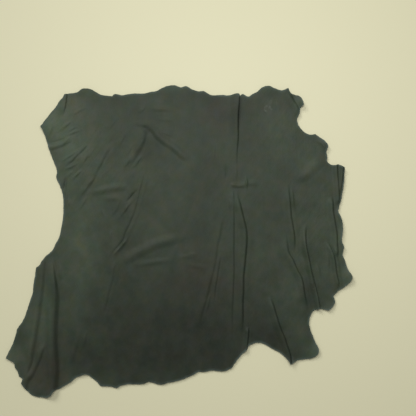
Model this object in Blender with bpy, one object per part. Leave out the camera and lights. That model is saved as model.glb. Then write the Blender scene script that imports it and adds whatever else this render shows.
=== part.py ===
"""A whole tanned hide, one sheet of soft garment leather, spread out on a flat surface.

The tables are in millimetres and the mesh is in metres, with +Z up. x runs along the
backbone and y across it. The origin is the middle of the hide's box, at the height of
the surface that it lies on. Between its folds the hide lies flat on that surface.
"""

import math
from collections import namedtuple

import bmesh
import bpy
import numpy as np
from mathutils.geometry import delaunay_2d_cdt

# --------------------------------------------------------------------------------------
# Driving dimensions, in millimetres
# --------------------------------------------------------------------------------------
MM = 0.001
THICKNESS = 1.2         # garment leather, about three ounces to the square foot
OUTLINE_STEP = 13.0     # longest side of the outline's facets
STATION = 14.0          # step along a fold from one row of points to the next
ROW_GAP = 3.6           # points on the faces of two folds come no closer than this
LINE_GAP = 2.6          # nor does a line of one fold come closer to another's
SIDE_GAP = 5.5          # points of a gentle side keep this far from another fold
GRID = 20.0             # triangle side where the hide lies flat
GRID_GAP = 11.5         # a point of the flat keeps this far from folds and outline
EDGE_GAP = 4.5          # a point of a fold keeps this far from the outline
WIDE_FLANK = 17.0       # a gentle side wider than this gets one more row of points
WIDE_FACE = 8.0         # so does a steep face wider than this

SHARP, ROUND = 1, 0     # how the outline passes a point: a corner, or a smooth curve

LEATHER_COLOUR = (0.052, 0.060, 0.044, 1.0)
LEATHER_ROUGHNESS = 0.62

# --------------------------------------------------------------------------------------
# The outline, clockwise from the upper left corner: x, y, corner or curve
# --------------------------------------------------------------------------------------
TOP_EDGE = (
    (-298.0, 382.0, SHARP), (-280.0, 384.0, ROUND), (-265.0, 386.5, ROUND),
    (-251.0, 395.0, ROUND), (-228.0, 393.5, ROUND), (-217.0, 387.5, ROUND),
    (-206.0, 381.0, ROUND), (-190.0, 378.0, ROUND), (-174.0, 376.5, SHARP),
    (-170.5, 380.5, ROUND), (-150.0, 379.0, ROUND), (-120.0, 383.5, ROUND),
    (-92.0, 383.5, ROUND), (-75.0, 387.5, ROUND), (-58.0, 390.0, ROUND),
    (-46.0, 396.5, ROUND), (-30.0, 402.0, ROUND), (-11.0, 403.5, ROUND),
    (4.0, 398.5, ROUND), (17.0, 401.5, ROUND), (33.0, 394.0, ROUND),
    (50.0, 389.0, ROUND), (61.0, 390.0, ROUND), (80.0, 380.0, ROUND),
    (112.0, 379.5, ROUND), (130.0, 378.5, ROUND), (150.0, 382.5, ROUND),
    (156.0, 377.5, SHARP), (163.0, 381.5, ROUND), (178.0, 375.5, ROUND),
    (190.0, 382.0, ROUND), (202.0, 388.0, ROUND), (214.0, 398.5, ROUND),
    (229.0, 403.0, ROUND), (249.0, 396.0, ROUND), (266.0, 391.5, ROUND),
)
UPPER_RIGHT_LOBES = (
    (281.0, 397.0, SHARP), (288.0, 385.0, ROUND), (300.0, 380.0, ROUND),
    (311.0, 376.0, ROUND), (318.5, 366.0, ROUND), (322.0, 354.0, SHARP),
    (315.0, 348.0, ROUND), (310.0, 330.0, ROUND), (304.5, 313.5, ROUND),
    (309.7, 300.0, ROUND), (323.0, 284.0, ROUND), (338.0, 277.0, ROUND),
    (352.7, 278.5, SHARP), (362.0, 271.5, ROUND), (378.0, 259.0, ROUND),
    (385.0, 250.0, ROUND), (380.7, 232.0, ROUND), (383.5, 220.0, ROUND),
    (383.0, 208.0, ROUND), (390.0, 200.5, ROUND), (402.0, 197.5, ROUND),
    (412.0, 200.5, ROUND), (418.0, 197.0, ROUND),
)
RIGHT_EDGE = (
    (428.0, 192.0, SHARP), (427.5, 172.0, ROUND), (423.5, 130.0, ROUND),
    (418.0, 104.0, ROUND), (411.0, 80.0, SHARP), (422.0, 50.0, ROUND),
    (423.0, 25.0, ROUND), (421.0, 0.0, ROUND), (425.5, -12.0, ROUND),
    (423.0, -35.0, SHARP), (429.0, -50.0, ROUND), (437.0, -73.0, ROUND),
    (447.5, -93.0, ROUND), (437.0, -110.0, ROUND), (426.5, -119.0, ROUND),
    (412.0, -128.0, ROUND),
)
LOWER_RIGHT_SHANK = (
    (399.0, -141.5, SHARP), (403.4, -156.5, ROUND), (397.0, -169.0, ROUND),
    (387.0, -179.0, SHARP), (375.0, -175.8, ROUND), (362.0, -174.0, ROUND),
    (350.0, -178.5, ROUND), (341.0, -190.0, ROUND), (336.4, -208.0, ROUND),
    (338.0, -225.0, ROUND), (345.0, -243.0, ROUND), (352.5, -262.0, ROUND),
    (361.0, -279.0, ROUND), (360.0, -289.0, ROUND), (353.0, -297.5, ROUND),
    (343.0, -302.5, ROUND), (320.0, -305.8, ROUND), (304.0, -309.0, ROUND),
    (293.5, -316.0, SHARP), (284.5, -318.0, SHARP), (279.0, -306.5, ROUND),
    (270.0, -296.0, ROUND), (260.0, -288.0, ROUND), (243.0, -279.0, ROUND),
    (226.0, -269.0, ROUND), (212.0, -263.0, ROUND), (200.0, -262.0, ROUND),
)
BOTTOM_EDGE = (
    (181.5, -269.0, SHARP), (171.5, -283.0, ROUND), (158.0, -297.5, ROUND),
    (145.0, -314.0, ROUND), (135.0, -329.0, SHARP), (119.0, -335.5, ROUND),
    (106.0, -336.8, ROUND), (85.0, -334.7, ROUND), (67.0, -338.5, ROUND),
    (48.0, -339.0, ROUND), (37.0, -345.0, ROUND), (21.0, -352.5, ROUND),
    (5.0, -358.8, ROUND), (-12.0, -363.5, ROUND), (-31.0, -366.8, ROUND),
    (-39.0, -369.8, ROUND), (-57.0, -369.8, ROUND), (-67.0, -366.0, ROUND),
    (-79.0, -363.5, ROUND), (-91.0, -369.0, ROUND), (-110.0, -370.0, ROUND),
    (-140.0, -370.8, ROUND), (-156.0, -376.0, ROUND), (-163.0, -380.3, SHARP),
    (-177.0, -376.7, ROUND), (-205.5, -375.0, SHARP), (-214.0, -364.0, ROUND),
    (-228.0, -352.5, ROUND), (-235.0, -346.5, ROUND), (-245.5, -344.3, ROUND),
    (-256.0, -347.5, ROUND), (-270.0, -354.5, ROUND), (-281.0, -364.0, ROUND),
    (-299.0, -375.0, ROUND), (-311.0, -382.0, ROUND),
)
LOWER_LEFT_SHANK = (
    (-324.0, -385.0, ROUND), (-332.0, -397.0, ROUND), (-349.0, -404.5, ROUND),
    (-361.0, -403.3, ROUND), (-380.5, -399.7, ROUND), (-393.3, -388.8, ROUND),
    (-401.1, -379.6, ROUND), (-409.0, -367.5, SHARP), (-405.4, -355.0, SHARP),
    (-416.0, -350.0, SHARP), (-419.0, -338.4, ROUND), (-426.0, -327.0, ROUND),
    (-428.0, -314.5, ROUND), (-436.5, -309.0, ROUND), (-447.5, -301.5, SHARP),
    (-443.0, -289.5, ROUND), (-433.8, -269.6, ROUND), (-424.0, -241.0, ROUND),
)
LEFT_EDGE = (
    (-420.3, -226.2, SHARP), (-404.7, -203.5, ROUND), (-395.4, -180.0, ROUND),
    (-388.3, -157.4, ROUND), (-380.3, -134.0, ROUND), (-378.0, -110.0, ROUND),
    (-373.7, -86.0, ROUND), (-371.3, -67.8, SHARP), (-362.0, -60.7, ROUND),
    (-355.5, -49.5, ROUND), (-347.0, -38.8, ROUND), (-330.2, -23.8, ROUND),
    (-321.7, -8.2, ROUND), (-311.0, 13.1, ROUND), (-306.8, 31.0, ROUND),
    (-301.8, 62.6, ROUND), (-300.4, 91.0, ROUND), (-302.5, 122.0, ROUND),
    (-311.0, 146.6, ROUND), (-319.5, 166.0, ROUND), (-317.0, 180.5, ROUND),
    (-323.8, 202.3, ROUND), (-335.0, 230.0, ROUND), (-342.0, 253.0, ROUND),
    (-350.0, 278.0, ROUND),
)
UPPER_LEFT_SHANK = (
    (-359.0, 298.0, SHARP), (-348.0, 313.0, ROUND), (-330.0, 337.5, ROUND),
    (-321.0, 347.0, ROUND), (-313.0, 361.0, ROUND), (-301.5, 375.5, ROUND),
)
OUTLINE = (TOP_EDGE + UPPER_RIGHT_LOBES + RIGHT_EDGE + LOWER_RIGHT_SHANK
           + BOTTOM_EDGE + LOWER_LEFT_SHANK + LEFT_EDGE + UPPER_LEFT_SHANK)

# --------------------------------------------------------------------------------------
# The folds. A fold is a ridge with a gentle side and a steep face. The path follows the
# middle of the steep face, which falls to the left hand of someone walking the path.
#   rise    height of the ridge            far     height of the low lip past the foot
#   gentle  width of the gentle side       steep   width of the steep face
#   lean    how far the crest hangs over towards the foot
#   start, end  length over which the ridge grows and dies away; 0 runs off the edge
# --------------------------------------------------------------------------------------
Fold = namedtuple("Fold", "name rise far gentle steep lean start end path")
FOLDS = (
    Fold("top pleat", 7.4, 0.0, 26, 4.4, 2.6, 0, 230,
         ((154.3, 394), (153, 358), (151, 330), (151, 295), (151.5, 270), (149.5, 240),
          (148.5, 200), (148.5, 160))),
    Fold("long fold", 4.7, 0.6, 17, 8.0, 1.8, 55, 70,
         ((148.5, 136), (151.5, 118), (156, 100), (161.3, 76), (167.5, 52), (172, 32),
          (173.6, 4), (171, -28), (168, -60), (164.8, -92), (163, -126), (161.5, -160),
          (162, -200), (161, -248))),
    Fold("long inner fold", 2.0, 0.6, 13, 6.0, 0.6, 20, 150,
         ((139, 136), (140.5, 120), (141, 75), (141, 25), (140.5, -30), (141, -80),
          (139, -125), (137, -180), (136.4, -250), (134, -282))),
    Fold("flank fold", 1.9, 0.0, 15, 9.0, 0.4, 70, 50,
         ((118, 80), (113, 55), (108, 34), (104, 12), (98.5, -10), (96, -29), (94, -51),
          (89, -75), (82, -100), (76, -124), (70, -152), (59, -184), (54, -208),
          (50, -230))),
    Fold("flank inner fold", 1.6, 0.6, 8, 5.5, 0.4, 35, 45,
         ((109, -26), (104, -55), (100.3, -78), (97.5, -96), (93.5, -119), (91.3, -141),
          (90, -170))),
    Fold("shoulder fold", 3.6, 0.8, 15, 6.0, 1.0, 50, 45,
         ((282.5, 153), (284.5, 125), (286.8, 100), (288.2, 79), (289.3, 63),
          (292, 50), (294.1, 35), (296.8, 20), (298.2, 5), (298.5, -12),
          (297.5, -32))),
    Fold("belly fold", 5.0, 1.2, 15, 7.5, 1.8, 110, 80,
         ((280, 40), (278.8, 8), (280.2, -12), (282.5, -28), (287.5, -38),
          (293.5, -48), (299.5, -62), (307.5, -79), (314.5, -91), (318.5, -105),
          (321.5, -123), (324.5, -141), (329.5, -160), (335.5, -192))),
    Fold("sharp belly fold", 8.0, 0.6, 10, 7.0, 3.0, 70, 0,
         ((334.5, 52), (327.5, 30), (326, 14), (325.8, -4), (328.3, -22), (332.5, -40),
          (336, -56), (339.5, -73), (344.5, -91), (348.2, -110), (352.2, -127),
          (356.5, -144), (359.5, -159), (363.5, -184))),
    Fold("rim fold", 4.8, 2.0, 9, 6.5, 1.6, 30, 20,
         ((382.5, 5), (392.5, -18), (397.8, -32), (402.5, -52), (404.9, -72),
          (407.1, -87), (411, -103), (414.5, -124))),
    Fold("upper border", 4.6, 0.0, 11, 5.0, 1.2, 0, 18,
         ((408, 205), (409.5, 169), (411.5, 149), (412.8, 124), (413.5, 108),
          (409.5, 92))),
    Fold("upper border roll", 5.0, 3.0, 7, 4.5, 0.6, 0, 60,
         ((424, 204), (422.5, 170), (420, 143), (417.5, 122), (415, 108))),
    Fold("lower border", 5.0, 0.0, 12, 6.5, 1.8, 20, 20,
         ((396, 118), (396.5, 100), (397.5, 76), (400.9, 57), (404.3, 37), (406.9, 21),
          (407.7, -1), (409, -22), (410.5, -42))),
    Fold("lower border curl", 6.0, 0.0, 13, 8.0, 0.0, 30, 30,
         ((420, 96), (423, 72), (429.5, 50), (430, 20), (429, 0), (432, -14),
          (431, -42))),
    Fold("hind shank fold", 6.4, 0.8, 16, 7.0, 2.0, 40, 0,
         ((235, -138), (241.5, -161), (248, -184), (254.3, -205), (263, -230.5),
          (271, -248.5), (277.4, -269), (284, -287), (289, -330))),
    Fold("hem fold", 4.6, 1.0, 9, 4.5, 1.4, 15, 0,
         ((179.5, -220), (178, -240), (176.8, -252), (173, -290))),
    Fold("fore shank fold", 8.8, 0.0, 24, 17.0, 1.0, 80, 0,
         ((-325.5, -34), (-322.5, -60), (-320, -78), (-318.5, -95), (-316.5, -115),
          (-315.5, -140), (-317, -165), (-319.5, -195), (-320.5, -220), (-321, -245),
          (-320.5, -268), (-318, -300), (-316.5, -325), (-317.5, -350), (-320.5, -375),
          (-323.5, -402))),
    Fold("fore shank outer fold", 5.0, 0.0, 17, 13.0, 0.4, 30, 0,
         ((-346, -30), (-349, -64), (-351, -90), (-353, -111), (-356, -133),
          (-359, -155), (-361.5, -178), (-364.5, -200), (-368.5, -225), (-373, -253),
          (-377.5, -275), (-381, -292), (-385, -310), (-389.5, -328), (-393, -348),
          (-398, -372), (-404, -394))),
    Fold("fore shank branch", 4.0, 0.0, 10, 10.0, 0.4, 35, 25,
         ((-342, -260), (-347, -272), (-355, -286), (-361, -300), (-367, -315),
          (-373, -328), (-379, -341), (-387, -356), (-395, -371))),
    Fold("back ridge", 3.6, 0.0, 18, 19.0, 0.0, 80, 55,
         ((24, 8), (0, 3), (-20, -2), (-42, -7), (-60, -13), (-78, -21), (-98, -31),
          (-115, -40), (-130, -49), (-145, -59), (-158, -74))),
    Fold("upper back ridge", 2.3, 0.0, 11, 15.0, 0.0, 30, 30,
         ((-128, 143), (-155, 142), (-178, 139), (-201, 134), (-221, 128),
          (-234, 122))),
    Fold("cross ridge", 1.5, 0.0, 9, 7.0, 0.0, 20, 10,
         ((178, 140), (164, 140.5), (150, 140.5), (139, 141.5), (130, 143.5))),
    Fold("long diagonal", 1.8, 1.6, 13, 7.5, 0.4, 50, 60,
         ((-87, 190), (-93, 172), (-96.5, 157), (-101, 139), (-105, 122),
          (-109.5, 105), (-113, 92), (-119, 72), (-127, 53), (-133, 40), (-141, 24),
          (-146, 8), (-155, -7), (-167, -21), (-178, -37), (-188, -55))),
    Fold("chevron left", 3.2, 0.6, 14, 13.0, 0.0, 20, 35,
         ((-84, 296), (-88, 274), (-93, 256), (-100, 242), (-109, 228), (-117, 215),
          (-124, 201), (-131, 188))),
    Fold("chevron right", 3.0, 0.0, 16, 13.0, 0.0, 40, 20,
         ((30, 204), (17, 211), (4, 218), (-8, 230), (-22, 241), (-34, 249),
          (-49, 260), (-63, 273), (-72, 285), (-80, 296))),
    Fold("flank diagonal", 2.2, 0.5, 11, 9.0, 0.2, 35, 40,
         ((-170, 258), (-177, 245), (-190, 225), (-200, 207), (-210, 187),
          (-217, 171), (-228, 153), (-241, 135), (-252, 118), (-259, 102))),
    Fold("edge diagonal", 2.6, 1.0, 9, 6.5, 0.4, 25, 25,
         ((-234, 254), (-243, 244), (-257, 230), (-266, 222), (-275, 211),
          (-285, 203), (-293, 193))),
    Fold("loin crease", 1.6, 0.8, 11, 8.0, 0.2, 30, 50,
         ((-161, -48), (-168, -66), (-173, -97), (-178, -115), (-183, -134),
          (-189, -159), (-194.5, -182), (-199, -204))),
    Fold("shoulder arc", 2.0, 0.0, 20, 19.0, 0.0, 25, 35,
         ((378, 211), (364, 195), (352, 183), (341, 173), (324, 161), (308, 155),
          (290, 150))),
    Fold("left tuck", 4.2, 0.0, 8, 12.0, 0.0, 30, 0,
         ((-268, 276), (-282, 266), (-297, 257), (-318, 248), (-337, 243),
          (-356, 238))),
    Fold("upper left flap", 3.6, 0.0, 22, 4.5, 1.5, 0, 30,
         ((-291, 396), (-293.5, 372), (-296, 353), (-299, 338), (-303, 322))),
    Fold("upper right dip", 4.2, 0.0, 24, 7.0, 0.8, 0, 25,
         ((279, 405), (284, 386), (290, 375), (297, 363), (304, 352), (311, 336),
          (318, 322))),
)

# --------------------------------------------------------------------------------------
# Where the rim stands off the surface: the middle of the lift, its reach and its height
# --------------------------------------------------------------------------------------
Lift = namedtuple("Lift", "name x y reach height")
LIFTS = (
    Lift("upper right lobe", 327, 363, 34, 9.0),
    Lift("right lobe", 392, 260, 44, 6.0),
    Lift("right corner", 433, 198, 22, 4.5),
    Lift("right tip", 456, -95, 46, 8.0),
    Lift("lower right corner", 396, -184, 32, 5.0),
    Lift("shank end", 368, -286, 40, 5.0),
    Lift("bottom tip", 289, -328, 34, 6.0),
    Lift("bottom notch", -246, -334, 36, 4.0),
    Lift("lower left tip", -457, -303, 56, 8.0),
    Lift("left tip", -368, 301, 54, 7.0),
    Lift("upper left bulge", -240, 405, 44, 5.0),
    Lift("top bulge", -8, 416, 78, 6.0),
    Lift("upper right bulge", 232, 414, 50, 5.0),
)

# The rim bears on the surface at three spots, so that the hide lies without rocking. Out
# beyond the straight lines between them the sheet is a hair clear of the surface.
Spot = namedtuple("Spot", "name x y")
BEARING_SPOTS = (
    Spot("lower left shank end", -361.0, -403.3),
    Spot("right edge", 429.0, -50.0),
    Spot("top edge", -83.5, 385.4),
)
HAIR = 0.3              # how far the sheet is clear beyond those lines
BOW = 0.02              # the lines bow inwards by this share of the way to the nearer spot


# --------------------------------------------------------------------------------------
# Curves
# --------------------------------------------------------------------------------------
def smooth_run(points, step):
    """Points along a smooth curve through the given ones, no further apart than step."""
    corners = np.array(points, dtype=float)
    lengths = np.linalg.norm(np.diff(corners, axis=0), axis=1)
    slopes = np.diff(corners, axis=0) / lengths[:, None]
    tangents = np.empty_like(corners)
    tangents[0], tangents[-1] = slopes[0], slopes[-1]
    if len(corners) > 2:
        before, after = lengths[:-1, None], lengths[1:, None]
        tangents[1:-1] = (slopes[:-1] * after + slopes[1:] * before) / (before + after)
    curve = []
    for i, length in enumerate(lengths):
        pieces = max(1, math.ceil(length / step - 0.05))
        for k in range(pieces):
            u = k / pieces
            curve.append((2 * u ** 3 - 3 * u ** 2 + 1) * corners[i]
                         + (u ** 3 - 2 * u ** 2 + u) * length * tangents[i]
                         + (3 * u ** 2 - 2 * u ** 3) * corners[i + 1]
                         + (u ** 3 - u ** 2) * length * tangents[i + 1])
    curve.append(corners[-1])
    return np.array(curve)


def outline_loop(step):
    """The closed outline: smooth runs that meet at the sharp corners."""
    rows = OUTLINE + OUTLINE[:1]
    loop, run = [], []
    for x, y, corner in rows:
        run.append((x, y))
        if corner == SHARP and len(run) > 1:
            loop.extend(smooth_run(run, step)[:-1])
            run = [(x, y)]
    return np.array(loop)


def is_inside(points, loop):
    """Which of the points lie inside the loop, by counting crossings to the right."""
    inside = np.zeros(len(points), dtype=bool)
    x, y = points[:, 0], points[:, 1]
    for (x0, y0), (x1, y1) in zip(loop, np.roll(loop, -1, axis=0)):
        if y0 == y1:
            continue
        crosses = (y0 > y) != (y1 > y)
        inside ^= crosses & (x < x0 + (y - y0) * (x1 - x0) / (y1 - y0))
    return inside


# --------------------------------------------------------------------------------------
# The relief of the hide
# --------------------------------------------------------------------------------------
def ease(u):
    """A soft step from 0 to 1 as u goes from 0 to 1, level at both ends."""
    return 0.5 - 0.5 * np.cos(np.pi * np.clip(u, 0.0, 1.0))


def place_on_path(points, path):
    """Signed distance to a path (left hand positive), run along it, and its direction."""
    steps = np.diff(path, axis=0)
    lengths = np.linalg.norm(steps, axis=1)
    runs = np.concatenate(([0.0], np.cumsum(lengths)))
    best = np.full(len(points), np.inf)
    side, run = np.zeros(len(points)), np.zeros(len(points))
    across = np.zeros((len(points), 2))
    for start, step, length, first in zip(path, steps, lengths, runs):
        offset = points - start
        u = np.clip(offset @ step / length ** 2, 0.0, 1.0)
        gap = np.linalg.norm(offset - u[:, None] * step, axis=1)
        left = np.array((-step[1], step[0])) / length
        nearer = gap < best
        best[nearer] = gap[nearer]
        side[nearer] = np.where(offset[nearer] @ left >= 0.0, gap[nearer], -gap[nearer])
        run[nearer] = first + u[nearer] * length
        across[nearer] = left
    return side, run, across, runs[-1]


def fold_profile(side, fold):
    """The section across a fold: crest on the right of the steep face, foot on its left."""
    half = fold.steep / 2
    face = ease((half - side) / fold.steep)
    gentle = ease((side + half + fold.gentle) / fold.gentle)
    ridge = np.where(side > -half, face, gentle)
    lip_run = (side - half) / fold.gentle
    lip = np.where(side > half, ease(lip_run * 3.0) * (1.0 - ease(lip_run * 1.5 - 0.5)), 0.0)
    return ridge, lip


def beyond_bearing(points):
    """Whether each point lies out beyond the lines between the bearing spots."""
    spots = np.array([(spot.x, spot.y) for spot in BEARING_SPOTS])
    outside = np.full(len(points), -np.inf)
    for a, b in zip(spots, np.roll(spots, -1, axis=0)):
        along = (b - a) / np.linalg.norm(b - a)
        outside = np.maximum(outside, (points - a) @ np.array((along[1], -along[0])))
    nearer = np.min([np.linalg.norm(points - spot, axis=1) for spot in spots], axis=0)
    return outside > 0.5 - BOW * nearer


def relief(points):
    """Height of the underside at each point, and how far each point is pushed sideways."""
    height = np.zeros(len(points))
    shift = np.zeros((len(points), 2))
    for fold in FOLDS:
        path = smooth_run(fold.path, 5.0)
        side, run, across, total = place_on_path(points, path)
        strength = np.ones(len(points))
        if fold.start:
            strength *= ease(run / fold.start)
        if fold.end:
            strength *= ease((total - run) / fold.end)
        ridge, lip = fold_profile(side, fold)
        height += strength * (fold.rise * ridge + fold.far * lip)
        shift += (strength * fold.lean * ridge)[:, None] * across
    for lift in LIFTS:
        gap = np.hypot(points[:, 0] - lift.x, points[:, 1] - lift.y)
        height += lift.height * ease(1.0 - gap / lift.reach)
    height += np.where(beyond_bearing(points), HAIR, 0.0)
    return height, shift


# --------------------------------------------------------------------------------------
# The points of the sheet
# --------------------------------------------------------------------------------------
def face_offsets(fold):
    """How far the rows on a fold's steep face lie from its path."""
    half = fold.steep / 2
    return [half, -half] + ([0.0] if fold.steep > WIDE_FACE else [])


def side_offsets(fold):
    """How far the rows on a fold's gentle side, and on its far lip, lie from its path."""
    half = fold.steep / 2
    shares = [0.36, 0.68, 1.0] if fold.gentle > WIDE_FLANK else [0.36, 1.0]
    offsets = [-half - share * fold.gentle for share in shares]
    if fold.far > 1.5:
        offsets += [half + 0.34 * fold.gentle, half + fold.gentle]
    return offsets


def fold_rows(fold, offsets):
    """Rows of points along a fold, one row for each offset from its path."""
    path = smooth_run(fold.path, 2.0)
    runs = np.concatenate(([0.0], np.cumsum(np.linalg.norm(np.diff(path, axis=0), axis=1))))
    count = max(2, round(runs[-1] / STATION))
    stations = np.linspace(0.0, runs[-1], count + 1)
    spots = np.column_stack([np.interp(stations, runs, path[:, k]) for k in (0, 1)])
    ahead = np.column_stack([np.interp(stations + 3.0, runs, path[:, k]) for k in (0, 1)])
    behind = np.column_stack([np.interp(stations - 3.0, runs, path[:, k]) for k in (0, 1)])
    along = (ahead - behind) / np.linalg.norm(ahead - behind, axis=1)[:, None]
    left = np.column_stack((-along[:, 1], along[:, 0]))
    return [spots + offset * left for offset in offsets]


def flat_grid(loop):
    """A grid of equal-sided triangles over the whole box of the outline."""
    low, high = loop.min(axis=0), loop.max(axis=0)
    rows = []
    for j, y in enumerate(np.arange(low[1], high[1], GRID * math.sqrt(0.75))):
        xs = np.arange(low[0] + GRID * 0.5 * (j % 2), high[0], GRID)
        rows.append(np.column_stack((xs, np.full(len(xs), y))))
    return np.vstack(rows)


def distance_to_loop(points, loop):
    """Distance from each point to the nearest side of the loop."""
    closed = np.vstack((loop, loop[:1]))
    side, _, _, _ = place_on_path(points, closed)
    return np.abs(side)


def sheet_points(loop):
    """The outline's points, the rows of the folds, then the flat between them.

    Also the edges that the sheet must have: the outline, and the rows that bound the
    steep faces, so that each crease stays an unbroken line.
    """
    points = [tuple(p) for p in loop]
    crowd = [np.array((1e6, 1e6))]      # what later points keep clear of
    edges = []

    def has_room(spot, gap):
        return np.min(np.hypot(*(np.array(crowd) - spot).T)) > gap

    def add(row, edge_gap, gap):
        """Add the points of a row that have room; give the index of each, or None."""
        clear = is_inside(row, loop) & (distance_to_loop(row, loop) > edge_gap)
        taken = []
        for spot, is_clear in zip(row, clear):
            fits = is_clear and has_room(spot, gap)
            taken.append(len(points) if fits else None)
            if fits:
                points.append(tuple(spot))
                crowd.append(spot)
        return taken

    def join(taken):
        """Ask for an edge between neighbours of a row, where no other row is crossed."""
        between = []
        for a, b in zip(taken, taken[1:]):
            if a is not None and b is not None:
                spots = [np.array(points[a]) * (1 - u) + np.array(points[b]) * u
                         for u in (0.25, 0.5, 0.75)]
                if all(has_room(spot, LINE_GAP) for spot in spots):
                    edges.append((a, b))
                    between += spots
        crowd.extend(between)

    tallest_first = sorted(FOLDS, key=lambda each: -each.rise)
    for fold in tallest_first:
        for row in fold_rows(fold, face_offsets(fold)):
            join(add(row, EDGE_GAP, ROW_GAP))
    for fold in tallest_first:
        for row in fold_rows(fold, side_offsets(fold)):
            add(row, EDGE_GAP, SIDE_GAP)
    add(flat_grid(loop), GRID_GAP, GRID_GAP)
    return points, edges


# --------------------------------------------------------------------------------------
# The hide
# --------------------------------------------------------------------------------------
def leather():
    """Soft dyed leather with little gloss."""
    material = bpy.data.materials.new("hide_leather")
    material.use_nodes = True
    shader = material.node_tree.nodes["Principled BSDF"]
    shader.inputs["Base Color"].default_value = LEATHER_COLOUR
    shader.inputs["Roughness"].default_value = LEATHER_ROUGHNESS
    shader.inputs["Metallic"].default_value = 0.0
    material.diffuse_color = LEATHER_COLOUR
    return material


def build_hide():
    """One sheet over its folds, with its thickness above the underside."""
    loop = outline_loop(OUTLINE_STEP)
    points, edges = sheet_points(loop)
    rim = list(range(len(loop)))[::-1]
    points, _, triangles, _, _, _ = delaunay_2d_cdt(points, edges, [rim], 1, 1e-4)
    flat = np.array([tuple(p) for p in points])
    height, shift = relief(flat)
    middle = (flat.min(axis=0) + flat.max(axis=0)) / 2

    mesh = bpy.data.meshes.new("hide")
    builder = bmesh.new()
    corners = [builder.verts.new(((x + dx - middle[0]) * MM, (y + dy - middle[1]) * MM, z * MM))
               for (x, y), (dx, dy), z in zip(flat, shift, height)]
    for triangle in triangles:
        builder.faces.new([corners[i] for i in triangle])
    bmesh.ops.recalc_face_normals(builder, faces=builder.faces)
    if sum(face.normal.z for face in builder.faces) < 0:
        bmesh.ops.reverse_faces(builder, faces=builder.faces)
    for edge in builder.edges:
        edge.smooth = not edge.is_boundary
    builder.to_mesh(mesh)
    builder.free()
    mesh.shade_smooth()
    mesh.materials.append(leather())

    hide = bpy.data.objects.new("hide", mesh)
    bpy.context.scene.collection.objects.link(hide)
    thickness = hide.modifiers.new("thickness", "SOLIDIFY")
    thickness.thickness = THICKNESS * MM
    thickness.offset = 1.0
    thickness.use_even_offset = True
    thickness.use_quality_normals = True
    return hide


def main():
    for old in list(bpy.data.objects):
        bpy.data.objects.remove(old, do_unlink=True)
    build_hide()


main()
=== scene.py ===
# %% [markdown]
# # A whole hide of garment leather, spread out
#
# The object is one skin of soft leather, as a tannery sells it: cut nowhere, with the ragged
# outline of the animal, four short shanks and the creases that it got from being folded and
# hung. It lies flat on a pale surface. Everything is in metres, +Z is up, and the sizes in
# the tables below are in millimetres, as a leather worker would note them.
#
# The solid model is loaded first; the dressed hide takes its place further on. It gives the
# place and the box that the dressed hide has to stay in.

# %% Load the solid model
import math
from collections import namedtuple

import bpy
import numpy as np
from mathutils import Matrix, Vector, noise
from mathutils.geometry import delaunay_2d_cdt


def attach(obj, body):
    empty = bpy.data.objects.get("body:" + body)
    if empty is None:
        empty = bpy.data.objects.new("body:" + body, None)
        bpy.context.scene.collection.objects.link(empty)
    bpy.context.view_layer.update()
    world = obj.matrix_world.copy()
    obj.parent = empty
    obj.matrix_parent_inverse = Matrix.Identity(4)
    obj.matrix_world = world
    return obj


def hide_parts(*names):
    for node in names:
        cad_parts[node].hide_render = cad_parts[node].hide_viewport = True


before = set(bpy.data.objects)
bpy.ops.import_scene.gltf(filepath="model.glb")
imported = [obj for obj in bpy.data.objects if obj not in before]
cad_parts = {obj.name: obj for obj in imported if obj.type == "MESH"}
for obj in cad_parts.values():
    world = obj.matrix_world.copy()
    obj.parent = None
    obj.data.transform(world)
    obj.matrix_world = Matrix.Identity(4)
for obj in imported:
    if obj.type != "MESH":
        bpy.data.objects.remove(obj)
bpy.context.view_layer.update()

# %% [markdown]
# ## The sizes of the hide
#
# Garment leather is a little over a millimetre thick. The sheet is meshed with triangles of
# three sizes: small ones where it turns sharply on a fold, middle ones beside the folds and
# along the rim, and large ones where it lies flat. Each size is twice the one before, so
# that the large triangles' corners are corners of the small ones too, and the sheet stays
# even from one to the next.

# %% Sizes in millimetres
MM = 0.001
THICKNESS = 1.2
FINE, MIDDLE, COARSE = 2.1, 4.2, 8.4
RIM_STEP = 3.0          # longest side of the rim
RIM_RAGGED = 0.8        # how far the torn edge strays from its smooth line
SHARP = "sharp"

# %% [markdown]
# ## The outline
#
# The outline is written down as a maker would measure it round the skin: a row for each
# place where it changes direction, with x along the backbone and y across it. A sharp corner
# has a mark, and a smooth curve runs through the other places. The rows are grouped by the
# part of the skin they follow.

# %% The outline, clockwise from the upper left corner
TOP_EDGE = (
    (-298, 382, SHARP), (-280, 384), (-265, 386.5), (-251, 395), (-228, 393.5), (-217, 387.5),
    (-206, 381), (-190, 378), (-174, 376.5, SHARP), (-170.5, 380.5), (-150, 379), (-120, 383.5),
    (-92, 383.5), (-75, 387.5), (-58, 390), (-46, 396.5), (-30, 402), (-11, 403.5), (4, 398.5),
    (17, 401.5), (33, 394), (50, 389), (61, 390), (80, 380), (112, 379.5), (130, 378.5),
    (150, 382.5), (156, 377.5, SHARP), (163, 381.5), (178, 375.5), (190, 382), (202, 388),
    (214, 398.5), (229, 403), (249, 396), (266, 391.5),
)
UPPER_RIGHT_LOBES = (
    (281, 397, SHARP), (288, 385), (300, 380), (311, 376), (318.5, 366), (322, 354, SHARP),
    (315, 348), (310, 330), (304.5, 313.5), (309.7, 300), (323, 284), (338, 277),
    (352.7, 278.5, SHARP), (362, 271.5), (378, 259), (385, 250), (380.7, 232), (383.5, 220),
    (383, 208), (390, 200.5), (402, 197.5), (412, 200.5), (418, 197),
)
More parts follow.
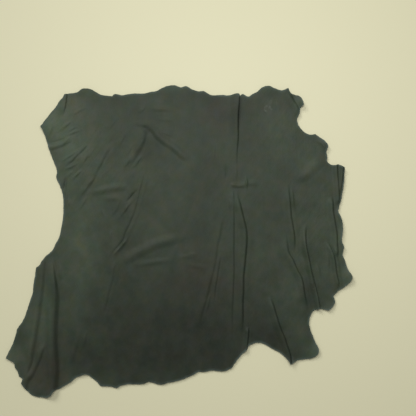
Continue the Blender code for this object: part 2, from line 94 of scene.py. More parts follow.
RIGHT_EDGE = (
    (428, 192, SHARP), (427.5, 172), (423.5, 130), (418, 104), (411, 80, SHARP), (422, 50),
    (423, 25), (421, 0), (425.5, -12), (423, -35, SHARP), (429, -50), (437, -73), (447.5, -93),
    (437, -110), (426.5, -119), (412, -128),
)
LOWER_RIGHT_SHANK = (
    (399, -141.5, SHARP), (403.4, -156.5), (397, -169), (387, -179, SHARP), (375, -175.8),
    (362, -174), (350, -178.5), (341, -190), (336.4, -208), (338, -225), (345, -243),
    (352.5, -262), (361, -279), (360, -289), (353, -297.5), (343, -302.5), (320, -305.8),
    (304, -309), (293.5, -316, SHARP), (284.5, -318, SHARP), (279, -306.5), (270, -296),
    (260, -288), (243, -279), (226, -269), (212, -263), (200, -262),
)
BOTTOM_EDGE = (
    (181.5, -269, SHARP), (171.5, -283), (158, -297.5), (145, -314), (135, -329, SHARP),
    (119, -335.5), (106, -336.8), (85, -334.7), (67, -338.5), (48, -339), (37, -345),
    (21, -352.5), (5, -358.8), (-12, -363.5), (-31, -366.8), (-39, -369.8), (-57, -369.8),
    (-67, -366), (-79, -363.5), (-91, -369), (-110, -370), (-140, -370.8), (-156, -376),
    (-163, -380.3, SHARP), (-177, -376.7), (-205.5, -375, SHARP), (-214, -364), (-228, -352.5),
    (-235, -346.5), (-245.5, -344.3), (-256, -347.5), (-270, -354.5), (-281, -364), (-299, -375),
    (-311, -382),
)
LOWER_LEFT_SHANK = (
    (-324, -385), (-332, -397), (-349, -404.5), (-361, -403.3), (-380.5, -399.7),
    (-393.3, -388.8), (-401.1, -379.6), (-409, -367.5, SHARP), (-405.4, -355, SHARP),
    (-416, -350, SHARP), (-419, -338.4), (-426, -327), (-428, -314.5), (-436.5, -309),
    (-447.5, -301.5, SHARP), (-443, -289.5), (-433.8, -269.6), (-424, -241),
)
LEFT_EDGE = (
    (-420.3, -226.2, SHARP), (-404.7, -203.5), (-395.4, -180), (-388.3, -157.4), (-380.3, -134),
    (-378, -110), (-373.7, -86), (-371.3, -67.8, SHARP), (-362, -60.7), (-355.5, -49.5),
    (-347, -38.8), (-330.2, -23.8), (-321.7, -8.2), (-311, 13.1), (-306.8, 31), (-301.8, 62.6),
    (-300.4, 91), (-302.5, 122), (-311, 146.6), (-319.5, 166), (-317, 180.5), (-323.8, 202.3),
    (-335, 230), (-342, 253), (-350, 278),
)
UPPER_LEFT_SHANK = (
    (-359, 298, SHARP), (-348, 313), (-330, 337.5), (-321, 347), (-313, 361), (-301.5, 375.5),
)
OUTLINE = (TOP_EDGE + UPPER_RIGHT_LOBES + RIGHT_EDGE + LOWER_RIGHT_SHANK
           + BOTTOM_EDGE + LOWER_LEFT_SHANK + LEFT_EDGE + UPPER_LEFT_SHANK)

# %% [markdown]
# ## The main folds
#
# Each fold is a ridge with a gentle side and a steep face, as a soft sheet makes it when it
# is pushed together. The path follows the middle of the steep face, which falls to the left
# hand of someone walking the path. Rise, widths and lean are in millimetres, "far" is the
# height of a low lip beyond the foot, and start and end are the lengths over which the ridge
# grows and dies away.
#
# Six of the folds were measured again for this finer sheet: the upper back ridge, the back
# ridge, the left tuck, and the lower ends of the long fold and of the fore shank's outer fold
# and branch. They lie up to 8 mm from their place in the solid part.

# %% The main folds
Fold = namedtuple("Fold", "name rise far gentle steep lean start end path")
FOLDS = [Fold(*row) for row in (
    ("top pleat", 7.4, 0, 26, 4.4, 2.6, 0, 230,
     ((154.3, 394), (153, 358), (151, 330), (151, 295), (151.5, 270), (149.5, 240), (148.5, 200),
      (148.5, 160))),
    ("long fold", 4.7, 0.6, 17, 8, 1.8, 55, 70,
     ((148.5, 136), (151.5, 118), (156, 100), (161.3, 76), (167.5, 52), (172, 32), (173.6, 4),
      (171, -28), (168, -60), (164.8, -92), (164.5, -126), (163, -160), (163.5, -200),
      (162.5, -248))),
    ("long inner fold", 2, 0.6, 13, 6, 0.6, 20, 150,
     ((139, 136), (140.5, 120), (141, 75), (141, 25), (140.5, -30), (141, -80), (139, -125),
      (137, -180), (136.4, -250), (134, -282))),
    ("flank fold", 1.9, 0, 15, 9, 0.4, 70, 50,
     ((118, 80), (113, 55), (108, 34), (104, 12), (98.5, -10), (96, -29), (94, -51), (89, -75),
      (82, -100), (76, -124), (70, -152), (59, -184), (54, -208), (50, -230))),
    ("flank inner fold", 1.6, 0.6, 8, 5.5, 0.4, 35, 45,
     ((109, -26), (104, -55), (100.3, -78), (97.5, -96), (93.5, -119), (91.3, -141), (90, -170))),
    ("shoulder fold", 3.6, 0.8, 15, 6, 1, 50, 45,
     ((282.5, 153), (284.5, 125), (286.8, 100), (288.2, 79), (289.3, 63), (292, 50), (294.1, 35),
      (296.8, 20), (298.2, 5), (298.5, -12), (297.5, -32))),
    ("belly fold", 5, 1.2, 15, 7.5, 1.8, 110, 80,
     ((280, 40), (278.8, 8), (280.2, -12), (282.5, -28), (287.5, -38), (293.5, -48), (299.5, -62),
      (307.5, -79), (314.5, -91), (318.5, -105), (321.5, -123), (324.5, -141), (329.5, -160),
      (335.5, -192))),
    ("sharp belly fold", 8, 0.6, 10, 7, 3, 70, 0,
     ((334.5, 52), (327.5, 30), (326, 14), (325.8, -4), (328.3, -22), (332.5, -40), (336, -56),
      (339.5, -73), (344.5, -91), (348.2, -110), (352.2, -127), (356.5, -144), (359.5, -159),
      (363.5, -184))),
    ("rim fold", 4.8, 2, 9, 6.5, 1.6, 30, 20,
     ((382.5, 5), (392.5, -18), (397.8, -32), (402.5, -52), (404.9, -72), (407.1, -87),
      (411, -103), (414.5, -124))),
    ("upper border", 4.6, 0, 11, 5, 1.2, 0, 18,
     ((408, 205), (409.5, 169), (411.5, 149), (412.8, 124), (413.5, 108), (409.5, 92))),
    ("upper border roll", 5, 3, 7, 4.5, 0.6, 0, 60,
     ((424, 204), (422.5, 170), (420, 143), (417.5, 122), (415, 108))),
    ("lower border", 5, 0, 12, 6.5, 1.8, 20, 20,
     ((396, 118), (396.5, 100), (397.5, 76), (400.9, 57), (404.3, 37), (406.9, 21), (407.7, -1),
      (409, -22), (410.5, -42))),
    ("lower border curl", 6, 0, 13, 8, 0, 30, 30,
     ((420, 96), (423, 72), (429.5, 50), (430, 20), (429, 0), (432, -14), (431, -42))),
    ("hind shank fold", 6.4, 0.8, 16, 7, 2, 40, 0,
     ((235, -138), (241.5, -161), (248, -184), (254.3, -205), (263, -230.5), (271, -248.5),
      (277.4, -269), (284, -287), (289, -330))),
    ("hem fold", 4.6, 1, 9, 4.5, 1.4, 15, 0,
     ((179.5, -220), (178, -240), (176.8, -252), (173, -290))),
    ("fore shank fold", 8.8, 0, 24, 17, 1, 80, 0,
     ((-325.5, -34), (-322.5, -60), (-320, -78), (-318.5, -95), (-316.5, -115), (-315.5, -140),
      (-317, -165), (-319.5, -195), (-320.5, -220), (-321, -245), (-320.5, -268), (-318, -300),
      (-316.5, -325), (-317.5, -350), (-320.5, -375), (-323.5, -402))),
    ("fore shank outer fold", 5, 0, 17, 13, 0.4, 30, 0,
     ((-346, -30), (-349, -64), (-351, -90), (-353, -111), (-356, -133), (-359, -155),
      (-361.5, -178), (-364.5, -200), (-368.5, -225), (-373, -253), (-377.5, -275), (-381, -292),
      (-382.5, -310), (-387, -328), (-390.5, -348), (-395.5, -372), (-401.5, -394))),
    ("fore shank branch", 4, 0, 10, 10, 0.4, 35, 25,
     ((-342, -260), (-347, -272), (-355, -286), (-359.5, -300), (-365.5, -315), (-371.5, -328),
      (-377.5, -341), (-385.5, -356), (-393.5, -371))),
    ("back ridge", 3, 0, 18, 19, 0, 80, 55,
     ((24.5, 5.5), (0.5, 0.5), (-19.5, -4.5), (-41.5, -9.5), (-59.5, -15.5), (-77.5, -23.5),
      (-97.5, -33.5), (-114.5, -42.5), (-129.5, -51.5), (-144.5, -61.5), (-157.5, -76.5))),
    ("upper back ridge", 2.3, 0, 11, 15, 0, 30, 30,
     ((-128, 135.5), (-155, 134.5), (-178, 131.5), (-201, 126.5), (-221, 120.5), (-234, 114.5))),
    ("cross ridge", 1.5, 0, 9, 7, 0, 20, 10,
     ((178, 140), (164, 140.5), (150, 140.5), (139, 141.5), (130, 143.5))),
    ("long diagonal", 1.8, 1.6, 13, 7.5, 0.4, 50, 60,
     ((-87, 190), (-93, 172), (-96.5, 157), (-101, 139), (-105, 122), (-109.5, 105), (-113, 92),
      (-119, 72), (-127, 53), (-133, 40), (-141, 24), (-146, 8), (-155, -7), (-167, -21),
      (-178, -37), (-188, -55))),
    ("chevron left", 3.2, 0.6, 14, 13, 0, 20, 35,
     ((-84, 296), (-88, 274), (-93, 256), (-100, 242), (-109, 228), (-117, 215), (-124, 201),
      (-131, 188))),
    ("chevron right", 3, 0, 16, 13, 0, 40, 20,
     ((30, 204), (17, 211), (4, 218), (-8, 230), (-22, 241), (-34, 249), (-49, 260), (-63, 273),
      (-72, 285), (-80, 296))),
    ("flank diagonal", 2.2, 0.5, 11, 9, 0.2, 35, 40,
     ((-170, 258), (-177, 245), (-190, 225), (-200, 207), (-210, 187), (-217, 171), (-228, 153),
      (-241, 135), (-252, 118), (-259, 102))),
    ("edge diagonal", 2.6, 1, 9, 6.5, 0.4, 25, 25,
     ((-234, 254), (-243, 244), (-257, 230), (-266, 222), (-275, 211), (-285, 203), (-293, 193))),
    ("loin crease", 1.6, 0.8, 11, 8, 0.2, 30, 50,
     ((-161, -48), (-168, -66), (-173, -97), (-178, -115), (-183, -134), (-189, -159),
      (-194.5, -182), (-199, -204))),
    ("shoulder arc", 2, 0, 20, 19, 0, 25, 35,
     ((378, 211), (364, 195), (352, 183), (341, 173), (324, 161), (308, 155), (290, 150))),
    ("left tuck", 3.4, 0, 8, 12, 0, 30, 0,
     ((-268, 271), (-282, 261), (-297, 252), (-318, 243), (-337, 238), (-356, 233))),
    ("upper left flap", 3.6, 0, 22, 4.5, 1.5, 0, 30,
     ((-291, 396), (-293.5, 372), (-296, 353), (-299, 338), (-303, 322))),
    ("upper right dip", 4.2, 0, 24, 7, 0.8, 0, 25,
     ((279, 405), (284, 386), (290, 375), (297, 363), (304, 352), (311, 336), (318, 322))),
)]

# %% [markdown]
# ## The small creases
#
# Between the main folds the skin keeps many small creases: soft ridges and, where the
# number is negative, soft troughs. Most are one or two millimetres high and none is over
# four, so they belong to the dressed hide and not to the solid one. Each has a rise, a whole
# width and a path.

# %% The small creases
Crease = namedtuple("Crease", "name rise width path")
CREASES = [Crease(*row) for row in (
    ("shoulder twin", 2.4, 9, ((290, 145), (293, 110), (296, 78))),
    ("second back arc", 1.7, 22, ((-4, -45), (-36, -50), (-70, -54), (-105, -60), (-130, -64))),
    ("second back arc, right", 0.9, 16, ((52, -36), (30, -38), (8, -40), (-14, -42))),
    ("upper back second", 1.5, 20, ((-142, 110), (-164, 112), (-188, 111), (-208, 106))),
    ("third back arc", 0.8, 20, ((10, -57), (45, -64), (80, -72))),
    ("short back arc", 0.6, 12, ((14, -33), (32, -32), (50, -32))),
    ("knuckle", 3.8, 9, ((-132, 12), (-146, -5), (-159, -20), (-178, -43))),
    ("neck trough", -3, 9, ((-106, 137), (-118, 124), (-128, 112), (-140, 98))),
    ("neck ridge", 1.8, 10, ((-108, 124), (-120, 108), (-134, 92), (-150, 70), (-166, 52))),
    ("neck twin", 1.4, 9, ((-150, 118), (-158, 100), (-164, 84), (-174, 70), (-182, 60))),
    ("neck short", 1.2, 8, ((-135, 97), (-139, 84), (-140, 72))),
    ("ribs short", 1.1, 9, ((-199, 86), (-198, 74), (-195, 60))),
    ("ribs long", 1.3, 10, ((-178, 34), (-179, 14), (-177, -4))),
    ("pleat twin", -1.3, 10, ((117, 204), (122, 188), (122, 172), (119, 152))),
    ("pleat far twin", 1, 9, ((87, 208), (89, 226), (91, 246))),
    ("pleat end", 0.9, 9, ((146, 196), (147, 176), (146, 156))),
    ("pleat tail", 1, 10, ((131, 116), (132, 98), (131, 80))),
    ("flank lower twin", 1.4, 10, ((84, -128), (76, -150), (72, -170), (64, -192))),
    ("cross ridge end", 1.4, 20, ((214, 150), (192, 151), (170, 150), (150, 147))),
    ("knot left", 1.2, 10, ((131, 146), (143, 148), (158, 147))),
    ("knot right", 2.2, 8, ((171, 174), (173, 160), (174, 148), (175, 132))),
    ("top left slant", 1.3, 12, ((-88, 362), (-95, 342), (-110, 332))),
    ("top bar", 2, 18, ((-84, 343), (-50, 344), (-12, 342))),
    ("top second bar", 1.6, 20, ((-124, 306), (-98, 305), (-70, 302))),
    ("top third bar", 0.7, 14, ((-66, 318), (-40, 316), (-8, 314))),
    ("chevron top", -1.5, 26, ((-108, 292), (-84, 286), (-56, 276))),
    ("chevron right lip", 1, 14, ((-64, 296), (-40, 282), (-14, 272))),
    ("chevron lower twin", 2, 9, ((-92, 226), (-104, 214), (-114, 200), (-128, 182))),
    ("chevron outer twin", 1.6, 9, ((-124, 226), (-134, 206), (-148, 186))),
    ("flank twin", 1.4, 14, ((-138, 290), (-150, 264), (-158, 240))),
    ("flank third", 1.1, 12, ((-118, 262), (-130, 236), (-140, 214))),
    ("flank fourth", 1, 12, ((-196, 262), (-208, 240), (-222, 218))),
    ("flank high", 1.2, 13, ((-160, 330), (-172, 306), (-186, 286))),
    ("flank companion", 1.2, 11, ((-218, 170), (-230, 155), (-243, 140))),
    ("corner slant", 1.6, 11, ((-268, 318), (-288, 306), (-306, 292), (-322, 276))),
    ("corner second slant", 1.6, 11, ((-250, 292), (-272, 284), (-292, 274))),
    ("corner high slant", 1.5, 11, ((-240, 350), (-262, 338), (-280, 322))),
    ("corner short slant", 1.5, 9, ((-262, 300), (-278, 292), (-290, 282))),
    ("corner lip", 1.6, 12, ((-324, 314), (-333, 292), (-341, 266))),
    ("edge slant", 1.8, 10, ((-250, 248), (-272, 230), (-296, 214), (-314, 200))),
    ("edge lower slant", 1.8, 9, ((-258, 208), (-280, 194), (-302, 184))),
    ("edge hook", 2.1, 9, ((-281, 154), (-274, 166), (-262, 177), (-250, 188))),
    ("edge hook twin", 1.6, 8, ((-292, 164), (-284, 176), (-274, 185))),
    ("edge pocket", -3.8, 15, ((-292, 172), (-296, 152), (-301, 128))),
    ("edge line", 2.1, 9, ((-289, 142), (-293, 114), (-293, 82))),
    ("flank fifth", 1.7, 14, ((-236, 236), (-246, 212), (-254, 186))),
    ("edge short", 1.2, 8, ((-284, 110), (-286, 100), (-286, 90))),
    ("rib slant", 1.8, 12, ((-236, 120), (-250, 100), (-262, 76))),
    ("shank inner line", 2, 10, ((-308, -54), (-309, -82), (-307, -106))),
    ("shank line start", -2.8, 12,
     ((-328, -30), (-325, -50), (-321, -84), (-317, -114), (-315, -150))),
    ("shank far line", 2.6, 17, ((-262, -226), (-268, -264), (-275, -288), (-283, -330))),
    ("shank far short", 2.2, 15, ((-243, -226), (-246, -250), (-252, -280))),
    ("sharp belly trough", -2.3, 7.5,
     ((337, -50), (340, -76), (346.5, -118), (354, -152), (358, -170))),
    ("sharp belly crest", 1.2, 6, ((345, -92), (349, -112), (354.5, -142), (359, -164))),
    ("tuck trough", -1.5, 9, ((-344, 254), (-318, 259), (-300, 265), (-285, 273))),
    ("tuck crest", 0.8, 7, ((-338, 240), (-314, 247), (-294, 256), (-279, 265))),
    ("belly far line", 1.7, 11, ((353, -54), (361, -78), (364, -98))),
    ("belly short", 1.3, 10, ((318, -34), (323, -56), (328, -78))),
    ("rim inner line", 1.4, 10, ((385, -6), (386, -40), (388, -76))),
    ("shoulder hollow", -1.2, 30, ((325, 280), (340, 258), (356, 247), (378, 243))),
    ("shoulder lip", 1, 12, ((350, 262), (367, 256), (376, 244), (377, 226))),
    ("seat hollow", -1.2, 30, ((262, 296), (276, 276), (288, 252))),
)]

# %% [markdown]
# ## Crests that are worn and painted lighter
#
# A few crests are paler: partly the dye is worn by handling, partly a highlight is painted
# where the crest catches the light. The table has the same columns, but here the rise is only
# how pale the line is.

# %% The rubbed crests
CREST_WEAR_AND_HIGHLIGHT = [Crease(*row) for row in (
    ("sharp belly crest", 2.3, 7,
     ((338, -66), (343.5, -88), (349.5, -120), (357, -154), (362, -174))),
    ("knuckle crest", 1.7, 7, ((-136, 4), (-148, -10), (-160, -22), (-176, -38))),
    ("tuck crest", 0.9, 7, ((-342, 238), (-314, 247), (-294, 256), (-278, 265))),
    ("hem crest", 0.9, 6, ((388, -10), (392, -24), (398, -44))),
    ("knot crest", 0.8, 8, ((138, 147), (146, 146), (156, 144))),
    ("fore shank crest", 0.8, 12,
     ((-336, -80), (-333, -150), (-334, -230), (-332, -300), (-335, -370))),
    ("fore shank outer crest", 0.8, 12, ((-366, -130), (-374, -200), (-383, -260), (-394, -310))),
)]

# %% [markdown]
# ## Where the rim stands off the surface
#
# Dried rims and shank ends curl up a few millimetres. Each lift has a middle, which may lie
# outside the skin, a reach and a height. The rim bears on the surface at three spots, so
# that the hide lies without rocking, and beyond the straight lines between them the sheet
# rises softly by a hair.

# %% The lifts
Lift = namedtuple("Lift", "name x y reach height")
LIFTS = [Lift(*row) for row in (
    ("upper right lobe", 327, 363, 34, 9.0),
    ("right lobe", 392, 260, 44, 6.0),
    ("right corner", 433, 198, 22, 4.5),
    ("right tip", 456, -95, 46, 8.0),
    ("lower right corner", 396, -184, 32, 5.0),
    ("shank end", 368, -286, 40, 5.0),
    ("bottom tip", 289, -328, 34, 6.0),
    ("bottom notch", -246, -334, 36, 4.0),
    ("lower left tip", -457, -303, 56, 8.0),
    ("left tip", -368, 301, 54, 7.0),
    ("upper left bulge", -240, 405, 44, 5.0),
    ("top bulge", -8, 416, 78, 6.0),
    ("upper right bulge", 232, 414, 50, 5.0),
)]

Spot = namedtuple("Spot", "name x y")
BEARING_SPOTS = (
    Spot("lower left shank end", -361.0, -403.3),
    Spot("right edge", 429.0, -50.0),
    Spot("top edge", -83.5, 385.4),
)
HAIR = 0.3              # how far the sheet is clear beyond those lines
SOFT_RISE = 60.0        # the hair is reached this far beyond the lines

# %% [markdown]
# ## Smooth curves from a few points
#
# A path with few points has to bend as softly as leather. A Hermite curve passes through
# every point and takes its direction from the neighbours, so the tables stay short. The
# outline is cut at its sharp corners and each run between them is smoothed by itself.

# %% Curves
STEP_SLACK = 0.05       # a piece may be longer than the step by this share


def smooth_run(points, step):
    """Points along a smooth curve through the given ones, about a step apart at most."""
    corners = np.array(points, dtype=float)
    lengths = np.linalg.norm(np.diff(corners, axis=0), axis=1)
    slopes = np.diff(corners, axis=0) / lengths[:, None]
    tangents = np.empty_like(corners)
    tangents[0], tangents[-1] = slopes[0], slopes[-1]
    if len(corners) > 2:
        before, after = lengths[:-1, None], lengths[1:, None]
        tangents[1:-1] = (slopes[:-1] * after + slopes[1:] * before) / (before + after)
    curve = []
    for i, length in enumerate(lengths):
        pieces = max(1, math.ceil(length / step - STEP_SLACK))
        for k in range(pieces):
            u = k / pieces
            curve.append((2 * u ** 3 - 3 * u ** 2 + 1) * corners[i]
                         + (u ** 3 - 2 * u ** 2 + u) * length * tangents[i]
                         + (3 * u ** 2 - 2 * u ** 3) * corners[i + 1]
                         + (u ** 3 - u ** 2) * length * tangents[i + 1])
    curve.append(corners[-1])
    return np.array(curve)


def outline_loop(step):
    """The closed outline: smooth runs that meet at the sharp corners."""
    loop, run = [], []
    for x, y, *mark in OUTLINE + OUTLINE[:1]:
        run.append((x, y))
        if mark and len(run) > 1:
            loop.extend(smooth_run(run, step)[:-1])
            run = [(x, y)]
    return np.array(loop)


smooth_loop = outline_loop(RIM_STEP)
around = np.linalg.norm(smooth_loop - np.roll(smooth_loop, 1, axis=0), axis=1).sum()
print(f"outline: {len(OUTLINE)} rows, {len(smooth_loop)} points, {around:.0f} mm round")

# %% [markdown]
# ## The torn edge
#
# A skin's edge is never as clean as a curve. Each point of the rim is pushed in or out by a
# little noise, which is the same each time because it depends only on the place.

# %% Ragged rim
RIM_NOISE = ((9.0, 3.1, 1.0), (4.0, 7.7, 0.6))     # size, layer and share of each noise


def roughness_at(x, y, size, layer):
    """Smooth noise from -1 to 1 at a place, with patches of about the given size."""
    return noise.noise(Vector((x / size, y / size, layer)))


def ragged(loop):
    """The loop with each point pushed outwards or inwards by small noise."""
    along = np.roll(loop, -1, axis=0) - np.roll(loop, 1, axis=0)
    outward = np.column_stack((-along[:, 1], along[:, 0]))
    outward /= np.linalg.norm(outward, axis=1)[:, None]
    push = np.array([sum(share * roughness_at(x, y, size, layer)
                         for size, layer, share in RIM_NOISE) for x, y in loop])
    return loop + outward * (RIM_RAGGED * push)[:, None]


rim = ragged(smooth_loop)
low, high = rim.min(axis=0), rim.max(axis=0)
print("ragged rim, mm:", (high - low).round(1))

# %% [markdown]
# ## Where a point lies beside a fold
#
# To raise the sheet over a fold, each point needs its distance from the fold's path, on
# which side it lies and how far along. Only the points near the path are worked out, which
# keeps this quick.

# %% Distances
STRETCH = 40            # the rim is searched in stretches of so many points
PATH_STEP = 5.0         # how finely a path is followed for the heights


def place_on_path(points, path):
    """Signed distance to a path (left hand positive), run along it, and its direction."""
    steps = np.diff(path, axis=0)
    lengths = np.linalg.norm(steps, axis=1)
    runs = np.concatenate(([0.0], np.cumsum(lengths)))
    best = np.full(len(points), np.inf)
    side, run = np.zeros(len(points)), np.zeros(len(points))
    across = np.zeros((len(points), 2))
    for start, step, length, first in zip(path, steps, lengths, runs):
        offset = points - start
        u = np.clip(offset @ step / length ** 2, 0.0, 1.0)
        gap = np.linalg.norm(offset - u[:, None] * step, axis=1)
        left = np.array((-step[1], step[0])) / length
        nearer = gap < best
        best[nearer] = gap[nearer]
        side[nearer] = np.where(offset[nearer] @ left >= 0.0, gap[nearer], -gap[nearer])
        run[nearer] = first + u[nearer] * length
        across[nearer] = left
    return side, run, across, runs[-1]


def near(points, path, reach):
    """Numbers of the points that lie in the path's box, made larger by the reach."""
    inside = np.all((points > path.min(axis=0) - reach) & (points < path.max(axis=0) + reach),
                    axis=1)
    return np.nonzero(inside)[0]


def beside(points, path, reach, step=PATH_STEP):
    """Numbers of the points near a path of a few places, and where each lies beside it."""
    path = smooth_run(path, step)
    close = near(points, path, reach)
    return close, *place_on_path(points[close], path)


def is_inside(points, loop):
    """Which of the points lie inside the loop, by counting crossings to the right."""
    inside = np.zeros(len(points), dtype=bool)
    x, y = points[:, 0], points[:, 1]
    for (x0, y0), (x1, y1) in zip(loop, np.roll(loop, -1, axis=0)):
        if y0 != y1:
            crosses = (y0 > y) != (y1 > y)
            inside ^= crosses & (x < x0 + (y - y0) * (x1 - x0) / (y1 - y0))
    return inside


def distance_to_rim(points, loop, reach):
    """Distance from each point to the nearest point of the rim, up to about the reach."""
    gaps = np.full(len(points), float(reach))
    for first in range(0, len(loop), STRETCH):
        stretch = loop[first:first + STRETCH]
        close = near(points, stretch, reach)
        for spot in stretch:
            gaps[close] = np.minimum(gaps[close], np.hypot(*(points[close] - spot).T))
    return gaps


# %% [markdown]
# ## The points of the sheet
#
# The points come from one fine lattice of equal-sided triangles. Close to a steep face all
# of them stay, beside it every second one in both directions, and on the flat every fourth.

# %% Choose the points
RIM_BAND = 12.0         # the triangles are middle-sized this near the rim
RIM_CLEAR = 1.8         # the lattice's points stay this far from the rim
BESIDE_FOLD = 3.0       # how far a fold's finer triangles go past its foot and its crest
BESIDE_CREASE = 4.0     # the same for a crease
WIDE_CREASE = 16.0      # from this width on a crease needs no small triangles
BAND_STEP = 8.0         # how finely a path is followed for the triangles' sizes


def lattice():
    """All points of the fine lattice over the outline's box, and their row numbers."""
    row_height = FINE * math.sqrt(0.75)
    rows = np.arange(math.ceil((high[1] - low[1]) / row_height))
    columns = np.arange(math.ceil((high[0] - low[0]) / FINE) + len(rows) // 2 + 1)
    i, j = np.meshgrid(columns, rows)
    i = i - len(rows) // 2
    points = np.column_stack((low[0] + FINE * (i + j / 2).ravel(),
                              low[1] + row_height * j.ravel()))
    return points, i.ravel(), j.ravel()


def spacing_needed(points):
    """The triangle size that the sheet needs at each point."""
    need = np.full(len(points), COARSE)
    bands = [(fold.path, fold.steep / 2 + BESIDE_FOLD,
              fold.gentle + fold.steep / 2 + BESIDE_FOLD) for fold in FOLDS]
    bands += [(crease.path, crease.width * 0.4 if crease.width < WIDE_CREASE else 0.0,
               crease.width * 0.5 + BESIDE_CREASE) for crease in CREASES]
    for path, tight, loose in bands:
        close, side, *_ = beside(points, path, loose, BAND_STEP)
        gap = np.abs(side)
        wanted = np.where(gap < tight, FINE, np.where(gap < loose, MIDDLE, COARSE))
        need[close] = np.minimum(need[close], wanted)
    return need


points, column, row = lattice()
kept = is_inside(points, smooth_loop)
points, column, row = points[kept], column[kept], row[kept]
rim_gap = distance_to_rim(points, rim, RIM_BAND + 2.0)
need = spacing_needed(points)
need[rim_gap < RIM_BAND] = np.minimum(need[rim_gap < RIM_BAND], MIDDLE)
level = np.where(need == FINE, 1, np.where(need == MIDDLE, 2, 4))
chosen = (column % level == 0) & (row % level == 0) & (rim_gap > RIM_CLEAR)
points = points[chosen]
print(f"lattice: {len(chosen)} points inside, {len(points)} kept")

# %% [markdown]
# ## The triangles
#
# Blender's constrained Delaunay function joins the points into the roundest triangles that
# there are, and keeps the rim as an unbroken line. This is quicker and more even than
# cutting a grid by the outline, which leaves slivers along the edge.

# %% Join the points
INSIDE_ONLY = 1         # Blender's number for keeping the triangles inside the loop
MERGE_GAP = 1e-5        # points nearer than this become one
rim_numbers = list(range(len(rim)))[::-1]
placed, _, triangles, _, _, _ = delaunay_2d_cdt(
    [tuple(p) for p in np.vstack((rim, points))], [], [rim_numbers], INSIDE_ONLY, MERGE_GAP)
flat = np.array([tuple(p) for p in placed])

# %% [markdown]
# ## The relief
#
# The height at a point is the sum of the folds, the creases and the lifts there, and of a
# slow waviness, because leather is never flat. The crest of a leaning fold is also pushed
# sideways towards its foot. A fold's strength wanders a little along its run, as real ones
# do. A painted shade along each steep face, made lighter on the worn and highlighted crests,
# is worked out too, for the finish.

# %% Heights
WAVES = (("broad", 150.0, 1.3), ("hand", 62.0, 0.9), ("finger", 27.0, 0.35))
WANDER = 0.16           # how much a fold's strength wanders along its run
WANDER_LENGTH = 55.0    # over about what length it does so
FOLD_APART = 37.0       # how far apart in the noise two folds are, so that they differ
LINE_MARGIN = 1.6       # how far the painted shade line reaches past a steep face
CRISP_FACE = 5.0        # a steep face wider than this gets less painted shade
CREASE_FADE = 0.45      # the share of its run over which a crease fades at each end
CREST_WEAR_AND_HIGHLIGHT_FADE = 0.3       # the same for a worn and highlighted crest


def ease(u):
    """A soft step from 0 to 1 as u goes from 0 to 1, level at both ends."""
    return 0.5 - 0.5 * np.cos(np.pi * np.clip(u, 0.0, 1.0))


def fold_profile(side, fold):
    """The section across a fold: crest on the right of the steep face, foot on its left.

    The far lip, beyond the foot, rises over a third of the gentle width and dies by its end.
    """
    half = fold.steep / 2
    face = ease((half - side) / fold.steep)
    gentle = ease((side + half + fold.gentle) / fold.gentle)
    lip_run = (side - half) / fold.gentle
    lip = np.where(side > half, ease(lip_run * 3.0) * (1.0 - ease(lip_run * 1.5 - 0.5)), 0.0)
    return np.where(side > -half, face, gentle), lip


def fade(run, total, start, end):
    """Strength along a run: it grows over start and dies over end; 0 runs off the edge."""
    strength = np.ones(len(run))
    if start:
        strength *= ease(run / start)
    if end:
        strength *= ease((total - run) / end)
    return strength


def beyond_bearing(points):
    """How far each point lies out beyond the lines between the bearing spots."""
    spots = np.array([(spot.x, spot.y) for spot in BEARING_SPOTS])
    outside = np.full(len(points), -np.inf)
    for a, b in zip(spots, np.roll(spots, -1, axis=0)):
        along = (b - a) / np.linalg.norm(b - a)
        outside = np.maximum(outside, (points - a) @ np.array((along[1], -along[0])))
    return outside


def relief(points):
    """Height of the underside, sideways push, and painted fold shade with crest highlight, by
    point.
    """
    height, fold_shade_and_crest_highlight = np.zeros(len(points)), np.zeros(len(points))
    shift = np.zeros((len(points), 2))
    for number, fold in enumerate(FOLDS):
        close, side, run, across, total = beside(points, fold.path,
                                                 fold.gentle + fold.steep + 2.0)
        strength = fade(run, total, fold.start, fold.end)
        strength *= 1.0 + WANDER * np.array(
            [roughness_at(r, number * FOLD_APART, WANDER_LENGTH, 1.5) for r in run])
        ridge, lip = fold_profile(side, fold)
        height[close] += strength * (fold.rise * ridge + fold.far * lip)
        shift[close] += (strength * fold.lean * ridge)[:, None] * across
        # painted shade along the steep face, stronger where the face is narrow and high
        line = ease(1.0 - np.abs(side) / (0.5 * fold.steep + LINE_MARGIN))
        hard = fold.rise / fold.steep * min(1.0, CRISP_FACE / fold.steep)
        fold_shade_and_crest_highlight[close] = np.maximum(fold_shade_and_crest_highlight[close], strength * line * hard)
    # the creases raise the sheet; the crest table lightens the painted fold shade as wear and
    # painted highlight
    for lines, values, sign, share in ((CREASES, height, 1, CREASE_FADE),
                                       (CREST_WEAR_AND_HIGHLIGHT, fold_shade_and_crest_highlight, -1, CREST_WEAR_AND_HIGHLIGHT_FADE)):
        for line in lines:
            close, side, run, _, total = beside(points, line.path, line.width / 2)
            strength = fade(run, total, share * total, share * total)
            ridge = ease(1.0 - 2.0 * np.abs(side) / line.width)
            values[close] += sign * line.rise * strength * ridge
    for lift in LIFTS:
        gap = np.hypot(points[:, 0] - lift.x, points[:, 1] - lift.y)
        height += lift.height * ease(1.0 - gap / lift.reach)
    height += HAIR * ease(beyond_bearing(points) / SOFT_RISE)
    return height, shift, fold_shade_and_crest_highlight


def waviness(points):
    """Slow uneven height all over the sheet."""
    return np.array([sum(depth * (0.5 + 0.5 * roughness_at(x, y, size, layer))
                         for layer, (_, size, depth) in enumerate(WAVES))
                     for x, y in points])


height, shift, fold_shade_and_crest_highlight = relief(flat)
height += waviness(flat)
height -= height.min()
furthest = np.hypot(*shift.T).max()
print(f"relief: {height.max():.1f} mm high, crests pushed up to {furthest:.1f} mm")

# %% [markdown]
# ## Make the sheet and give it its thickness
#
# The points and triangles become a mesh. Solidify then adds the thickness upwards, so that
# the flesh side stays where the tables put it, and is applied. The rim stays a crisp edge
# because shading is smoothed only across gentle angles.

